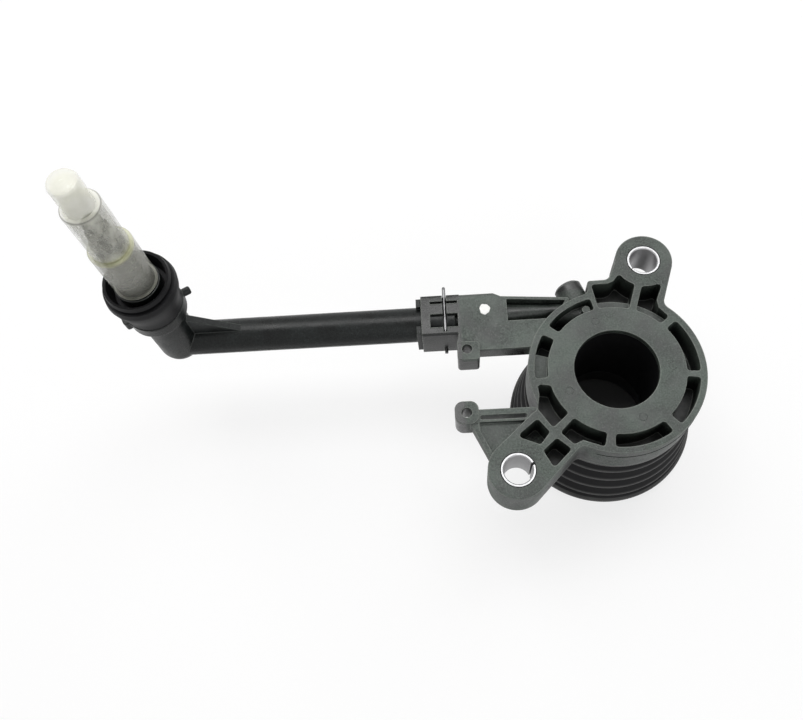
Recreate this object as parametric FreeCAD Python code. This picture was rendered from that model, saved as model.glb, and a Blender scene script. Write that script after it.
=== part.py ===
import FreeCAD, Part
import math
import os

# Hydraulic clutch slave cylinder that sits round the gearbox input shaft.
# Millimetres. The origin is the bore centre on the mounting face, +Z points out of that face,
# and the inlet pipe runs along -X. The release bearing is at the bottom, where the part rests.

# Flange of the moulded housing
BORE_R = 18.0
POCKET_W = 5.6
HUB_WALL = 3.7
FLANGE_H = 18.5
RIM_WALL = 2.7
POCKET_DEPTH = 14.0
POCKET_ROUND = 1.3
OUTLINE_ROUND = 3.5
CORNER_ROUND = 1.5
LEDGE_DEPTH = 4.0
LEDGE_W = 4.5
# Start and end angles of the pockets that follow the rim
RIM_POCKETS = ((102.5, 141.0), (149.0, 184.5), (262.0, 304.0), (311.6, 350.2), (355.0, 397.0))
SHALLOW_FLOOR = (163.0, 186.0)
# Corners of the pockets that run out into the webs, each as an angle and a reach beyond the hub
WEB_POCKETS = (
    ((188.6, 5.4), (196.0, -4.2), (220.1, -4.4), (220.4, 9.4), (205.4, 9.4), (196.5, 6.0)),
    ((210.2, 11.8), (221.0, 11.6), (222.3, 18.4), (213.1, 22.8), (211.7, 21.4)),
    ((226.1, 11.6), (236.8, 12.1), (234.1, 22.9), (225.2, 19.6)),
    ((226.0, -0.1), (225.6, 8.8), (236.7, 9.8), (240.4, 6.4), (255.3, 6.3), (255.2, -0.2),
     (250.7, -8.0)),
    ((66.4, -1.9), (67.9, 12.2), (59.4, 17.2), (57.6, 15.4), (56.0, 8.7), (52.1, 5.9), (42.6, 5.1),
     (43.0, -0.2), (53.1, -4.2)),
    ((98.5, -4.9), (98.9, 12.2), (88.6, 11.8), (85.1, 13.0), (81.8, 17.0), (72.0, 18.1),
     (72.9, -4.1)),
)
LEDGE_POCKETS = (4, 5)
# Corners of the webs that join the lugs to the ring, given the same way
LOWER_WEB = ((206.6, -6.8), (205.8, 12.1), (211.8, 35.1), (223.1, 32.7), (234.6, 33.3),
             (240.3, 9.8), (248.2, -2.3))
UPPER_WEB = ((105.9, -0.1), (100.6, 14.3), (87.9, 13.7), (83.7, 23.1), (70.6, 25.5), (57.7, 27.3),
             (51.7, 9.8), (39.8, 2.0))

# Bolt lugs, each with a pressed-in split sleeve
LUG_R = 12.5
LOWER_LUG_PLACE = (223.1, 32.7)
UPPER_LUG_PLACE = (70.57, 25.51)
LUG_BOSS_R = 13.0
SLEEVE_R = 7.15
SLEEVE_BORE_R = 6.0
SLEEVE_SLIT = 1.2
SLEEVE_CHAMFER = 0.4
LOWER_SLIT_ANGLE = 20.0
UPPER_SLIT_ANGLE = 218.0

# Cylinder barrel and guide sleeve
PISTON_W = 5.5
BARREL_WALL = 3.0
BARREL_BELOW = 20.0
CHAMBER_TOP = 8.0
LIP_T = 3.0
GUIDE_INSET = 0.6
GUIDE_WALL = 1.4
GUIDE_END = 48.0
GUIDE_CHAMFER = 0.5
GUIDE_ORING_R = 1.1
GUIDE_ORING_DEPTH = 6.0
BOOT_SPIGOT_INSET = 2.5
BOOT_SPIGOT_WALL = 1.5
BOOT_SPIGOT_H = 2.5

# Inlet arm, with the channel to the cylinder
ARM_TOP = 1.2
ARM_PLATE_T = 3.0
ARM_SKIN = 2.2
ARM_SKIRT = 8.3
ARM_BACK = 9.15
ARM_BACK_BEND_X = -50.0
ARM_BACK_STEP = 1.7
ARM_BACK_END = (-16.0, 4.9)
ARM_FRONT = 18.15
ARM_ROOT_X = -30.0
ARM_CORNER = 4.0
PIPE_OUTSIDE_HUB = 1.75
PIPE_DEPTH = 10.6
CHANNEL_R = 2.5
CHANNEL_TUBE_R = 4.9
CHANNEL_END_X = -9.5
CHANNEL_END_T = 3.0
CROSS_BORE_R = 1.8
CROSS_BORE_X = -12.2
RECESS_X = (-44.2, -16.0)
RECESS_FRONT = 4.8
RECESS_RIM = 1.3
RECESS_FLOOR_T = 2.4
STUB_ANGLE = 110.0
STUB_R = 6.2
STUB_REACH = 9.6
STUB_CHAMFER = 1.0
POST_ANGLE = 107.8
POST_OUTSIDE_HUB = 1.9
POST_R = 1.8
POST_DEPTH = 2.0

# Socket box for the pipe
BOX_X = (-82.6, -65.2)
BOX_HALF_Y = 9.9
BOX_BOTTOM = 20.0
BOX_EDGE = 1.0
WINDOW_X = (-78.5, -66.2)
WINDOW_Y = (-6.15, 0.35)
SLOT_Y = (5.45, 6.65)
SLOT_DEPTH = 2.5
SOCKET_FIT = 0.1
SOCKET_STEP_X = -67.4
SOCKET_END_X = -55.5

# Small block and triangular bracket on the arm side
BLOCK_X = (-67.3, -57.6)
BLOCK_Y = (8.0, 16.6)
BLOCK_H = 12.0
BLOCK_ROUND = 1.6
BRACKET_HOLE_R = 2.2
BLOCK_HOLE = (-63.0, 13.0)
EAR_CENTRE = (-64.8, -16.4)
EAR_HALF = 5.1
EAR_ROUND = 3.6
BRACKET_TOP_Y = -14.9
BRACKET_RIB_T = 2.6
BRACKET_SLOT_T = 2.0
BRACKET_SLOT_X = (-59.2, -39.5)
BRACKET_T = 6.0
BRACKET_FLOOR = 2.0
BRACKET_EDGE_T = 2.2
BRACKET_TAIL_ANGLE = 153.4
BRACKET_FOOT = 1.4
BRACKET_SLOT_ROUND = 0.9

# Pipe adapter: spigot, tube, elbow, upright neck and quick connector spigot
PIPE_R = 7.87
PIPE_BORE_R = 4.4
COLLAR_X = -84.8
COLLAR_HALF = 8.6
COLLAR_NOTCH = 9.5
COLLAR_NOTCH_DEPTH = 2.3
SPIGOT_END_X = -56.0
SPIGOT_R = 5.6
SPIGOT_BORE_R = 2.5
PIPE_ORING_X = -61.5
PIPE_ORING_R = 1.0
PIPE_ORING_SQUEEZE = 0.2
CLIP_X = -72.0
NECK_X = -195.5
NECK_R = 9.6
NECK_TOP = 45.4
GUSSET_T = 3.0
GUSSET_FOOT_X = -164.6
GUSSET_TOP = 10.2
PEG_Z = 22.4
PEG_R = 1.8
PEG_REACH = 16.4
PEG_ANGLE = 27.0
TAB_REACH = 15.0
TAB_HALF = 2.6
TAB_ROUND = 1.2
BAYONET_R = 12.9
BAYONET_EDGE = 0.8
BAYONET_Z = (18.5, 25.0)
CONNECTOR_BASE_R = 7.9
CONNECTOR_BASE_H = 5.0
CONNECTOR_R = 6.0
CONNECTOR_TIP_R = 3.9
CONNECTOR_SHOULDER_Z = 80.0
CONNECTOR_TIP_Z = 91.0
CONNECTOR_BORE_R = 2.0
CONNECTOR_EDGE = 1.0
CONNECTOR_TAPER = 1.5
LATCH_GROOVE_Z = (55.0, 58.5)
LATCH_GROOVE_R = 4.6
TIP_ORING_Z = 84.5
TIP_ORING_R = 0.9

# Wire clip through the socket box
WIRE_R = 0.75
WIRE_FIT = 0.12
CLIP_GROOVE_R = 6.2
CLIP_BACK = 15.05
CLIP_BEND_R = 2.2
CLIP_NEAR_END = -7.55
CLIP_FAR_END = -11.75

# Rubber grommet round the neck
GROMMET_TOP = 46.7
GROMMET_EDGE = 0.5
GROMMET_TAPER = 3.0
GROMMET_LIP_R = 14.1
GROMMET_LIP_T = 1.6
GROMMET_THROAT_DEPTH = 7.5
GROMMET_GROOVE_R = 13.1
GROMMET_GROOVE_Z = (43.0, 44.6)
GROMMET_FLANGE_R = 15.5
GROMMET_FLANGE_Z = 40.2
GROMMET_WAIST_R = 13.0
GROMMET_WAIST_Z = 30.0
GROMMET_FOOT_R = 12.6
GROMMET_FOOT_Z = 25.0

# Transport cap, one stepped translucent moulding
CAP_R = (9.05, 7.75, 5.8)
CAP_STEP_Z = (73.2, 100.0, 114.8)
CAP_FOOT_Z = 46.0
CAP_WALL = 1.05
CAP_FIT = 0.1
CAP_ROUND = 0.6
CAP_TIP_ROUND = 1.4

# Piston, seal, bearing carrier and release bearing
RUNNING_FIT = 0.08
PISTON_TOP = 26.0
SEAL_H = 4.0
SEAL_LIP = 1.3
SEAL_NOTCH = 2.4
CARRIER_TOP = 48.0
CARRIER_T = 1.5
CARRIER_CLEARANCE = 0.7
CARRIER_LIP = 6.2
BEARING_TOP = 50.0
BEARING_BOTTOM = 61.0
OUTER_RING_WALL = 4.5
RACE_GAP = 3.2
INNER_RING_WALL = 4.6
CONTACT_CLEARANCE = 1.4
BALL_R = 3.0
BALL_COUNT = 15
BALL_GAP = 0.3
BALL_SIDES = 10
BALL_BANDS = 6
CAGE_GAP = 0.45
CAGE_POCKET_GAP = 0.15
CAGE_H = 3.9
CAGE_CROWN = 1.0
SHIELD_T = 0.8
SHIELD_GAP = 0.3
SHIELD_INSET = 0.5
SNAP_RING_W = 1.6
SNAP_RING_T = 1.2
SNAP_RING_GAP = 3.0
INNER_TOP = 50.6
CONTACT_TOP = 63.2
CONTACT_BOTTOM = 66.5
CONTACT_LIP = 5.5
CONTACT_ROUND = 1.2

# Preload spring and rubber boot
SPRING_CLEARANCE = 1.1
SPRING_WIRE = 3.2
SPRING_TURNS = 3.5
SPRING_END_GAP = 0.05
BOOT_WALL = 1.1
BOOT_FOLD = 2.6
BOOT_RIDGE_Z = (28.8, 37.2, 45.6, 54.0)
BOOT_FLARE = 1.3
BOOT_RIDGE_HALF = 0.7
BOOT_COLLAR_INSET = 0.2
BOOT_FOOT_LIP = 1.5
BOOT_FOOT_H = 4.2
BOOT_FIT = 0.3

# Where a three-sided round turns its corner, as a share of its radius
DOME_SHOULDER = 0.3
# Past the end of each cut
ABOVE = 1.0

# Sizes that follow from those above, from the bore outwards
GUIDE_R = BORE_R + GUIDE_INSET + GUIDE_WALL
CYLINDER_R = GUIDE_R + PISTON_W
HUB_R = CYLINDER_R + HUB_WALL
RING_R = HUB_R + POCKET_W + RIM_WALL
BOOT_SPIGOT_R = RING_R - BOOT_SPIGOT_INSET
BOOT_COLLAR_R = RING_R - BOOT_COLLAR_INSET
INNER_BORE_R = GUIDE_R + CONTACT_CLEARANCE
INNER_RACE_R = INNER_BORE_R + INNER_RING_WALL
OUTER_RACE_R = INNER_RACE_R + RACE_GAP
CARRIER_R = OUTER_RACE_R + OUTER_RING_WALL + CARRIER_T
CARRIER_LIP_R = CARRIER_R + CARRIER_LIP
CARRIER_BORE_R = GUIDE_R + CARRIER_CLEARANCE
CONTACT_R = INNER_RACE_R + CONTACT_LIP
BOOT_FOOT_R = CARRIER_LIP_R + BOOT_FOOT_LIP
SPRING_R = CYLINDER_R + BARREL_WALL + SPRING_CLEARANCE + SPRING_WIRE / 2
PIPE_Y = HUB_R + PIPE_OUTSIDE_HUB
PIPE_Z = -PIPE_DEPTH
ARM_BACK_Y = PIPE_Y + ARM_BACK
ARM_FRONT_Y = PIPE_Y - ARM_FRONT


def vec(x, y, z=0.0):
    return FreeCAD.Vector(x, y, z)


def polar(radius, degrees):
    angle = math.radians(degrees)
    return (radius * math.cos(angle), radius * math.sin(angle))


LOWER_LUG = polar(HUB_R + LOWER_LUG_PLACE[1], LOWER_LUG_PLACE[0])
UPPER_LUG = polar(HUB_R + UPPER_LUG_PLACE[1], UPPER_LUG_PLACE[0])


def distance(place):
    return math.hypot(place[0], place[1])


def beyond_hub(places):
    """Points from their angles and their reaches beyond the hub."""
    return [polar(HUB_R + reach, angle) for angle, reach in places]


def disc(radius, low, high, centre=(0.0, 0.0)):
    return Part.makeCylinder(radius, high - low, vec(centre[0], centre[1], low))


def tube(outer, inner, low, high, centre=(0.0, 0.0)):
    return disc(outer, low, high, centre).cut(disc(inner, low, high, centre))


def rod(radius, start, end):
    run = vec(*end).sub(vec(*start))
    return Part.makeCylinder(radius, run.Length, vec(*start), run)


def block(x, y, z):
    return Part.makeBox(x[1] - x[0], y[1] - y[0], z[1] - z[0], vec(x[0], y[0], z[0]))


def turned(profile, centre=(0.0, 0.0)):
    """Solid turned about a vertical axis from its (radius, height) corners."""
    corners = [vec(radius, 0.0, height) for radius, height in profile]
    face = Part.Face(Part.makePolygon(corners + corners[:1]))
    solid = face.revolve(vec(0, 0, 0), vec(0, 0, 1), 360)
    solid.translate(vec(centre[0], centre[1], 0))
    return solid


def polygon_face(points):
    """Flat face that looks up, whichever way round its corners are listed."""
    corners = [vec(*point) for point in points]
    face = Part.Face(Part.makePolygon(corners + corners[:1]))
    if face.normalAt(0, 0).z > 0:
        return face
    corners.reverse()
    return Part.Face(Part.makePolygon(corners + corners[:1]))


def disc_face(radius, centre=(0.0, 0.0)):
    circle = Part.Circle(vec(*centre), vec(0, 0, 1), radius)
    return Part.Face(Part.Wire(circle.toShape()))


def raised(face, low, high):
    solid = face.copy()
    solid.translate(vec(0, 0, low))
    return solid.extrude(vec(0, 0, high - low))


def merged(shapes):
    return shapes[0].multiFuse(shapes[1:]).removeSplitter()


def outward_round(face, radius):
    """Same face with its outward corners rounded."""
    return face.makeOffset2D(-radius).makeOffset2D(radius)


def inward_round(face, radius):
    """Same face with its inward corners filled by a round."""
    return face.makeOffset2D(radius).makeOffset2D(-radius)


def upright_edges(solid):
    return [edge for edge in solid.Edges if is_upright(edge)]


def is_upright(edge):
    if len(edge.Vertexes) < 2:
        return False
    run = edge.Vertexes[1].Point.sub(edge.Vertexes[0].Point)
    return abs(run.z) > 0.5 and abs(run.x) + abs(run.y) < 1e-6


def sector_face(inner, outer, start, end):
    """Face between two radii and two angles."""
    middle = (start + end) / 2
    arcs = []
    for radius in (inner, outer):
        a, b, c = [vec(*polar(radius, angle)) for angle in (start, middle, end)]
        arcs.append(Part.Arc(a, b, c).toShape())
    sides = [Part.makeLine(vec(*polar(inner, angle)), vec(*polar(outer, angle))) for angle in (start, end)]
    edges = [arcs[0], sides[1], arcs[1], sides[0]]
    return Part.Face(Part.Wire(Part.__sortEdges__(edges)))


def flange_outline():
    webs = [polygon_face(beyond_hub(corners)) for corners in (LOWER_WEB, UPPER_WEB)]
    faces = [disc_face(RING_R)] + webs
    faces += [disc_face(LUG_R, lug) for lug in (LOWER_LUG, UPPER_LUG)]
    outline = inward_round(merged(faces).Faces[0], OUTLINE_ROUND)
    return outward_round(outline, CORNER_ROUND)


def pocket_faces():
    """Every pocket of the face: arcs along the rim, and the angular ones in the webs."""
    outer = RING_R - RIM_WALL
    faces = [sector_face(HUB_R, outer, start, end) for start, end in RIM_POCKETS]
    walls = [disc_face(HUB_R), disc_face(LUG_BOSS_R, LOWER_LUG), disc_face(LUG_BOSS_R, UPPER_LUG)]
    for corners in WEB_POCKETS:
        faces += polygon_face(beyond_hub(corners)).cut(walls).Faces
    return [outward_round(face, POCKET_ROUND) for face in faces]


def pockets():
    """Solids to cut out: each pocket to its full depth, less the ledges round the hub."""
    deep = [raised(face, -POCKET_DEPTH, ABOVE) for face in pocket_faces()]
    first_web = len(RIM_POCKETS)
    ledge = disc(HUB_R + LEDGE_W, -POCKET_DEPTH - ABOVE, -LEDGE_DEPTH)
    for index in LEDGE_POCKETS:
        deep[first_web + index] = deep[first_web + index].cut(ledge)
    start, end = SHALLOW_FLOOR
    floor = raised(sector_face(HUB_R - ABOVE, RING_R - ABOVE, start, end), -POCKET_DEPTH - ABOVE,
                   -LEDGE_DEPTH)
    deep[1] = deep[1].cut(floor)
    return deep


def arm_outline():
    return polygon_face([(BOX_X[1] - ABOVE, ARM_BACK_Y), (ARM_BACK_BEND_X, ARM_BACK_Y),
                         (ARM_BACK_BEND_X + 2 * ARM_BACK_STEP, ARM_BACK_Y - ARM_BACK_STEP),
                         (ARM_BACK_END[0], PIPE_Y + ARM_BACK_END[1]),
                         (ARM_ROOT_X, ARM_FRONT_Y), (BLOCK_X[0], ARM_FRONT_Y),
                         (BLOCK_X[0], BLOCK_Y[1]), (BOX_X[1] - ABOVE, BLOCK_Y[1] + ARM_CORNER)])


def arm():
    """Ribbed plate over the inlet channel: a tray open at its underside, with a recess at the top."""
    outline = outward_round(arm_outline(), 1.0)
    floor = -ARM_TOP - ARM_PLATE_T
    foot = -ARM_TOP - ARM_SKIRT
    tray = raised(outline, foot, -ARM_TOP)
    tray = tray.cut(raised(outline.makeOffset2D(-ARM_SKIN), foot - ABOVE, floor))
    middle = (PIPE_Y + ARM_FRONT_Y) / 2
    stiffener = block((BOX_X[1], ARM_ROOT_X), (middle - ARM_SKIN, middle), (foot, floor))
    area = block(RECESS_X, (PIPE_Y - RECESS_FRONT, ARM_BACK_Y), (foot, 0))
    inside = raised(outline.makeOffset2D(-RECESS_RIM), foot, 0)
    bottom = area.common(raised(outline.makeOffset2D(-RECESS_RIM / 2), PIPE_Z, PIPE_Z + RECESS_FLOOR_T))
    return tray.fuse(stiffener).cut(area.common(inside)).fuse(bottom)


def channel_tube():
    near_end = (CHANNEL_END_X + CHANNEL_END_T, PIPE_Y, PIPE_Z)
    return rod(CHANNEL_TUBE_R, (BOX_X[1] - ABOVE, PIPE_Y, PIPE_Z), near_end)


def stub():
    """Blanked round boss that points outwards beside the inlet."""
    inner = polar(RING_R - RIM_WALL, STUB_ANGLE)
    outer = polar(RING_R + STUB_REACH, STUB_ANGLE)
    height = -ARM_TOP - STUB_R
    solid = rod(STUB_R, (inner[0], inner[1], height), (outer[0], outer[1], height))
    rim = [edge for edge in solid.Edges if edge.Closed and distance(edge.CenterOfMass) > RING_R]
    return solid.makeChamfer(STUB_CHAMFER, rim)


def small_block():
    solid = block(BLOCK_X, BLOCK_Y, (-BLOCK_H, 0))
    return solid.makeFillet(BLOCK_ROUND, upright_edges(solid))


def triangular_bracket():
    """Flat triangular bracket between the ear and the lower lug, with a slot behind its top rib."""
    ear_x = (EAR_CENTRE[0] - EAR_HALF, EAR_CENTRE[0] + EAR_HALF)
    ear_y = (EAR_CENTRE[1] - EAR_HALF, EAR_CENTRE[1] + EAR_HALF)
    ear = block(ear_x, ear_y, (-BLOCK_H, 0))
    ear = ear.makeFillet(EAR_ROUND, upright_edges(ear))
    tail_reach = polar(LUG_R, BRACKET_TAIL_ANGLE)
    tail = (LOWER_LUG[0] + tail_reach[0], LOWER_LUG[1] + tail_reach[1])
    inside = -RING_R + RIM_WALL
    outline = polygon_face([(EAR_CENTRE[0], BRACKET_TOP_Y), (inside, BRACKET_TOP_Y), (inside, ear_y[0]),
                            LOWER_LUG, tail, (EAR_CENTRE[0] + BRACKET_FOOT, ear_y[0])])
    body = raised(outline, -ARM_TOP - BRACKET_T, -ARM_TOP)
    slot_high = BRACKET_TOP_Y - BRACKET_RIB_T
    slot = block(BRACKET_SLOT_X, (slot_high - BRACKET_SLOT_T, slot_high), (-FLANGE_H, 0))
    slot = slot.makeFillet(BRACKET_SLOT_ROUND, upright_edges(slot))
    below = slot_high - BRACKET_SLOT_T - BRACKET_EDGE_T / 2
    floor = outline.makeOffset2D(-BRACKET_EDGE_T).common(
        polygon_face([(ear_x[1], below), (0, below), (0, LOWER_LUG[1]), (ear_x[1], LOWER_LUG[1])]))
    recess = raised(floor, -ARM_TOP - BRACKET_FLOOR, 0)
    return body.cut(recess).fuse(ear).cut(slot)


def socket_box():
    back = PIPE_Y + BOX_HALF_Y
    front = PIPE_Y - BOX_HALF_Y
    solid = block(BOX_X, (front, back), (-BOX_BOTTOM, -ARM_TOP))
    long_edges = [edge for edge in solid.Edges
                  if abs(edge.Vertexes[0].X - edge.Vertexes[-1].X) > BOX_HALF_Y]
    return solid.makeFillet(BOX_EDGE, long_edges)


def socket_bores():
    pipe = rod(PIPE_R + SOCKET_FIT, (BOX_X[0] - ABOVE, PIPE_Y, PIPE_Z), (SOCKET_STEP_X, PIPE_Y, PIPE_Z))
    spigot = rod(SPIGOT_R + SOCKET_FIT, (SOCKET_STEP_X - ABOVE, PIPE_Y, PIPE_Z),
                 (SOCKET_END_X, PIPE_Y, PIPE_Z))
    channel = rod(CHANNEL_R, (SOCKET_END_X - ABOVE, PIPE_Y, PIPE_Z), (CHANNEL_END_X, PIPE_Y, PIPE_Z))
    cross = rod(CROSS_BORE_R, (CROSS_BORE_X, PIPE_Y, PIPE_Z), (CROSS_BORE_X, CYLINDER_R - PISTON_W, PIPE_Z))
    return [pipe, spigot, channel, cross]


def clip_offset():
    """Distance of each clip leg from the pipe axis."""
    return CLIP_GROOVE_R + WIRE_R + WIRE_FIT / 2


def socket_windows():
    window = block(WINDOW_X, (PIPE_Y + WINDOW_Y[0], PIPE_Y + WINDOW_Y[1]), (PIPE_Z, 0))
    slot = block(WINDOW_X, (PIPE_Y + SLOT_Y[0], PIPE_Y + SLOT_Y[1]), (-ARM_TOP - SLOT_DEPTH, 0))
    half = WIRE_R + WIRE_FIT
    offset = clip_offset()
    back = PIPE_Y + BOX_HALF_Y + ABOVE
    across = (CLIP_X - half, CLIP_X + half)
    near = block(across, (PIPE_Y + CLIP_NEAR_END - half, back), (PIPE_Z + offset - half, 0))
    far = block(across, (PIPE_Y - BOX_HALF_Y - ABOVE, back),
                (PIPE_Z - offset - half, PIPE_Z - offset + half))
    return [window, slot, near, far]


def housing():
    flange = raised(flange_outline(), -FLANGE_H, 0).fuse(triangular_bracket())
    flange = flange.cut(pockets())
    barrel = disc(CYLINDER_R + BARREL_WALL, -FLANGE_H - BARREL_BELOW, -FLANGE_H)
    spigot = tube(BOOT_SPIGOT_R, BOOT_SPIGOT_R - BOOT_SPIGOT_WALL, -FLANGE_H - BOOT_SPIGOT_H, -FLANGE_H)
    post = disc(POST_R, -POCKET_DEPTH, -POST_DEPTH,
                polar(HUB_R + POST_OUTSIDE_HUB, POST_ANGLE))
    ring_space = disc(RING_R - RIM_WALL, -FLANGE_H - ABOVE, 0)
    solid = flange.fuse([barrel, spigot, post, channel_tube(), socket_box(), small_block()])
    solid = solid.fuse([arm().cut(ring_space), stub().cut(ring_space)])
    guide_seat = disc(GUIDE_R, -CHAMBER_TOP - ABOVE, -LIP_T)
    groove = disc(GUIDE_R + 2 * GUIDE_ORING_R, -GUIDE_ORING_DEPTH - GUIDE_ORING_R,
                  -GUIDE_ORING_DEPTH + GUIDE_ORING_R)
    cylinder = disc(CYLINDER_R, -FLANGE_H - BARREL_BELOW - ABOVE, -CHAMBER_TOP)
    bore = disc(BORE_R, -FLANGE_H, ABOVE)
    sleeves = [disc(SLEEVE_R, -FLANGE_H - ABOVE, ABOVE, lug) for lug in (LOWER_LUG, UPPER_LUG)]
    holes = [disc(BRACKET_HOLE_R, -BLOCK_H - ABOVE, ABOVE, place) for place in (BLOCK_HOLE, EAR_CENTRE)]
    cuts = [bore, guide_seat, groove, cylinder] + sleeves + holes + socket_bores() + socket_windows()
    return solid.cut(cuts).removeSplitter()


def bolt_sleeve(lug, slit_angle):
    """Rolled sleeve, open along one side, with chamfered ends."""
    edge = SLEEVE_CHAMFER
    profile = [(SLEEVE_BORE_R, -FLANGE_H + edge), (SLEEVE_BORE_R + edge, -FLANGE_H), (SLEEVE_R, -FLANGE_H),
               (SLEEVE_R, 0), (SLEEVE_BORE_R + edge, 0), (SLEEVE_BORE_R, -edge)]
    slit = block((0, SLEEVE_R + ABOVE), (-SLEEVE_SLIT / 2, SLEEVE_SLIT / 2), (-FLANGE_H, 0))
    slit.rotate(vec(0, 0, 0), vec(0, 0, 1), slit_angle)
    slit.translate(vec(lug[0], lug[1], 0))
    return turned(profile, lug).cut(slit)


def guide_sleeve():
    inner = GUIDE_R - GUIDE_WALL
    profile = [(inner, -LIP_T), (GUIDE_R, -LIP_T), (GUIDE_R, -GUIDE_END + GUIDE_CHAMFER),
               (GUIDE_R - GUIDE_CHAMFER, -GUIDE_END), (inner, -GUIDE_END)]
    return turned(profile)


def round_ring(mean, section, height, centre=(0.0, 0.0)):
    return Part.makeTorus(mean, section, vec(centre[0], centre[1], height))


def guide_sleeve_oring():
    return round_ring(GUIDE_R + GUIDE_ORING_R, GUIDE_ORING_R, -GUIDE_ORING_DEPTH)


def piston():
    inner = GUIDE_R + RUNNING_FIT
    outer = CYLINDER_R - RUNNING_FIT
    return tube(outer, inner, -CARRIER_TOP, -PISTON_TOP)


def piston_seal():
    """Lipped seal ring: two lips that point up into the oil, with a notch between them."""
    inner = GUIDE_R + RUNNING_FIT
    outer = CYLINDER_R - RUNNING_FIT
    low = -PISTON_TOP
    high = low + SEAL_H
    middle = (inner + outer) / 2
    profile = [(inner, low), (outer, low), (outer, high), (outer - SEAL_LIP / 2, high),
               (middle, high - SEAL_NOTCH), (inner + SEAL_LIP / 2, high), (inner, high)]
    return turned(profile)


def bearing_carrier():
    """Pressed dish under the piston: it carries the spring, the boot's foot and the bearing."""
    top = -CARRIER_TOP
    lip = boot_foot()
    inside = CARRIER_R - CARRIER_T
    profile = [(CARRIER_BORE_R, top), (CARRIER_R, top), (CARRIER_R, lip), (CARRIER_LIP_R, lip),
               (CARRIER_LIP_R, lip - CARRIER_T), (inside, lip - CARRIER_T), (inside, top - CARRIER_T),
               (CARRIER_BORE_R, top - CARRIER_T)]
    return turned(profile)


def boot_foot():
    return -BEARING_BOTTOM


def ball_circle():
    return (OUTER_RACE_R + INNER_RACE_R) / 2


def ball_height():
    return -(BEARING_TOP + BEARING_BOTTOM) / 2


def raceway():
    return round_ring(ball_circle(), BALL_R + BALL_GAP, ball_height())


def bearing_outer_ring():
    ring = tube(CARRIER_R - CARRIER_T, OUTER_RACE_R, -BEARING_BOTTOM, -BEARING_TOP)
    return ring.cut(raceway())


def bearing_inner_ring():
    """Turning ring, drawn out below into the round-edged flange that meets the clutch fingers."""
    edge = CONTACT_ROUND
    profile = [(INNER_BORE_R, -INNER_TOP), (INNER_RACE_R, -INNER_TOP), (INNER_RACE_R, -CONTACT_TOP),
               (CONTACT_R, -CONTACT_TOP), (CONTACT_R, -CONTACT_BOTTOM + edge),
               (CONTACT_R - edge, -CONTACT_BOTTOM), (INNER_BORE_R + edge, -CONTACT_BOTTOM),
               (INNER_BORE_R, -CONTACT_BOTTOM + edge)]
    return turned(profile).cut(raceway())


def ball(place, radius, sides=BALL_SIDES, bands=BALL_BANDS):
    """Faceted globe: rings of flat faces between two poles."""
    step = math.pi / bands
    rings = []
    for band in range(1, bands):
        size = radius * math.sin(band * step)
        height = place[2] + radius * math.cos(band * step)
        turn = [2 * math.pi * side / sides for side in range(sides)]
        rings.append([vec(place[0] + size * math.cos(a), place[1] + size * math.sin(a), height)
                      for a in turn])
    faces = []
    for pole, ring in ((place[2] + radius, rings[0]), (place[2] - radius, rings[-1])):
        tip = vec(place[0], place[1], pole)
        faces += [triangle(tip, ring[k - 1], ring[k]) for k in range(sides)]
    for upper, lower in zip(rings, rings[1:]):
        for k in range(sides):
            corners = [upper[k - 1], upper[k], lower[k], lower[k - 1]]
            faces.append(Part.Face(Part.makePolygon(corners + corners[:1])))
    return Part.makeSolid(Part.makeShell(faces))


def triangle(a, b, c):
    return Part.Face(Part.makePolygon([a, b, c, a]))


def ball_places():
    for index in range(BALL_COUNT):
        x, y = polar(ball_circle(), 360.0 * index / BALL_COUNT)
        yield (x, y, ball_height())


def bearing_balls():
    return Part.makeCompound([ball(place, BALL_R) for place in ball_places()])


def bearing_cage():
    """Ring between the races with a pocket for each ball, open towards the top."""
    middle = ball_height()
    ring = tube(OUTER_RACE_R - CAGE_GAP, INNER_RACE_R + CAGE_GAP, middle - CAGE_H, middle + CAGE_CROWN)
    width = OUTER_RACE_R - INNER_RACE_R
    pockets = []
    for x, y, z in ball_places():
        size = BALL_R + CAGE_POCKET_GAP
        spot = (x / ball_circle(), y / ball_circle())
        start = (spot[0] * (ball_circle() - width), spot[1] * (ball_circle() - width), z)
        end = (spot[0] * (ball_circle() + width), spot[1] * (ball_circle() + width), z)
        pockets.append(rod(size, start, end))
    return ring.cut(pockets)


def bearing_shield(edge):
    """Thin washer fixed in the outer ring, just clear of the turning ring."""
    low = edge - SHIELD_T
    return tube(OUTER_RACE_R, INNER_RACE_R + SHIELD_GAP, low, edge)


def bearing_snap_ring():
    """Open wire ring that holds the bearing up in its carrier."""
    outer = CARRIER_R - CARRIER_T
    ring = tube(outer, outer - SNAP_RING_W, -BEARING_BOTTOM - SNAP_RING_T, -BEARING_BOTTOM)
    gap = block((0, outer + ABOVE), (-SNAP_RING_GAP / 2, SNAP_RING_GAP / 2),
                (-BEARING_BOTTOM - SNAP_RING_T, -BEARING_BOTTOM))
    return ring.cut(gap)


def preload_spring():
    """Square-wire coil between the flange and the bearing carrier."""
    low = -CARRIER_TOP + SPRING_END_GAP
    high = -FLANGE_H - SPRING_END_GAP
    height = high - low - SPRING_WIRE
    path = Part.makeHelix(height / SPRING_TURNS, height, SPRING_R)
    half = SPRING_WIRE / 2
    corners = [vec(SPRING_R - half, 0, -half), vec(SPRING_R + half, 0, -half),
               vec(SPRING_R + half, 0, half), vec(SPRING_R - half, 0, half)]
    section = Part.makePolygon(corners + corners[:1])
    coil = Part.Wire(path.Edges).makePipeShell([section], True, True)
    coil.translate(vec(0, 0, low + half))
    return coil


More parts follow.
